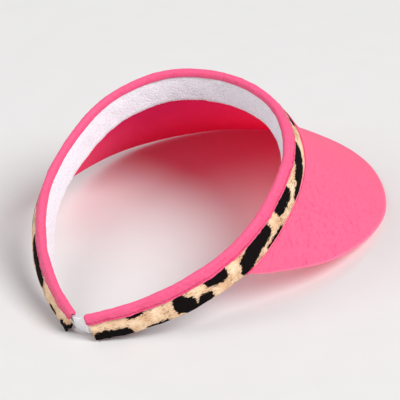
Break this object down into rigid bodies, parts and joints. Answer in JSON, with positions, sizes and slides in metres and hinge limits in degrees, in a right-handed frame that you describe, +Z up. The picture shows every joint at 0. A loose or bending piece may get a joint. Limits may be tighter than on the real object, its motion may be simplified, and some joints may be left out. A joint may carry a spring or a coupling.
{
  "type": "sun visor",
  "caption": "Fabric sun visor: a wide curved brim on an open head band with a padded sweatband and a short elastic at the back.",
  "frame": {"origin": "on the table, under the middle of the visor's bounding box as it rests on the front edge of its brim and the ends of its arms", "axes": "+Z up, +Y towards the front of the brim, +X to the wearer's right"},
  "size_m": [0.2244, 0.3304, 0.1106],
  "materials": {
    "brim_fabric": "fine plain weave, matt",
    "brim_under_fabric": "fine plain weave, matt",
    "brim_edge_fabric": "fine plain weave, turned edge",
    "seam_fabric": "matt",
    "binding_fabric": "fine plain weave, matt",
    "binding_thread": "matt thread",
    "leopard_hair": "short hair printed with dark leopard spots",
    "white_terry": "looped terry, matt",
    "foam": "open-cell foam, matt",
    "board": "thin stiffener board",
    "white_elastic": "ribbed elastic",
    "white_thread": "matt thread"
  },
  "bodies": {
    "front": {"brim_board": "board", "brim_top_cover": "brim_fabric", "brim_under_cover": "brim_under_fabric", "brim_edge_fold": "brim_edge_fabric", "brim_seam_flange": "seam_fabric", "front_stiffener": "board", "front_outer_cover": "leopard_hair", "front_foam_pad": "foam", "front_sweatband": "white_terry", "front_binding": "binding_fabric", "front_binding_stitch": "binding_thread", "back_elastic": "white_elastic"},
    "left_arm": {"left_arm_stiffener": "board", "left_arm_outer_cover": "leopard_hair", "left_arm_foam_pad": "foam", "left_arm_sweatband": "white_terry", "left_arm_binding": "binding_fabric", "left_arm_binding_stitch": "binding_thread", "left_arm_end_fold": "leopard_hair", "left_elastic_bartack": "white_thread"},
    "right_arm": {"right_arm_stiffener": "board", "right_arm_outer_cover": "leopard_hair", "right_arm_foam_pad": "foam", "right_arm_sweatband": "white_terry", "right_arm_binding": "binding_fabric", "right_arm_binding_stitch": "binding_thread", "right_arm_end_fold": "leopard_hair", "right_elastic_bartack": "white_thread"}
  },
  "joints": [
    {"name": "left_arm_flex", "type": "hinge", "parent": "front", "child": "left_arm", "pos_m": [-0.0826, -0.08805, 0.03369], "axis": [0, 0.4226, -0.9063], "range_deg": [0, 10], "stiffness_Nm_per_rad": 0.8, "deforming": ["back_elastic"]},
    {"name": "right_arm_flex", "type": "hinge", "parent": "front", "child": "right_arm", "pos_m": [0.0826, -0.08805, 0.03369], "axis": [0, -0.4226, 0.9063], "range_deg": [0, 10], "stiffness_Nm_per_rad": 0.8, "deforming": ["back_elastic"]}
  ],
  "couplings": [
    {"joint": "right_arm_flex", "follows": "left_arm_flex", "ratio": 1}
  ]
}
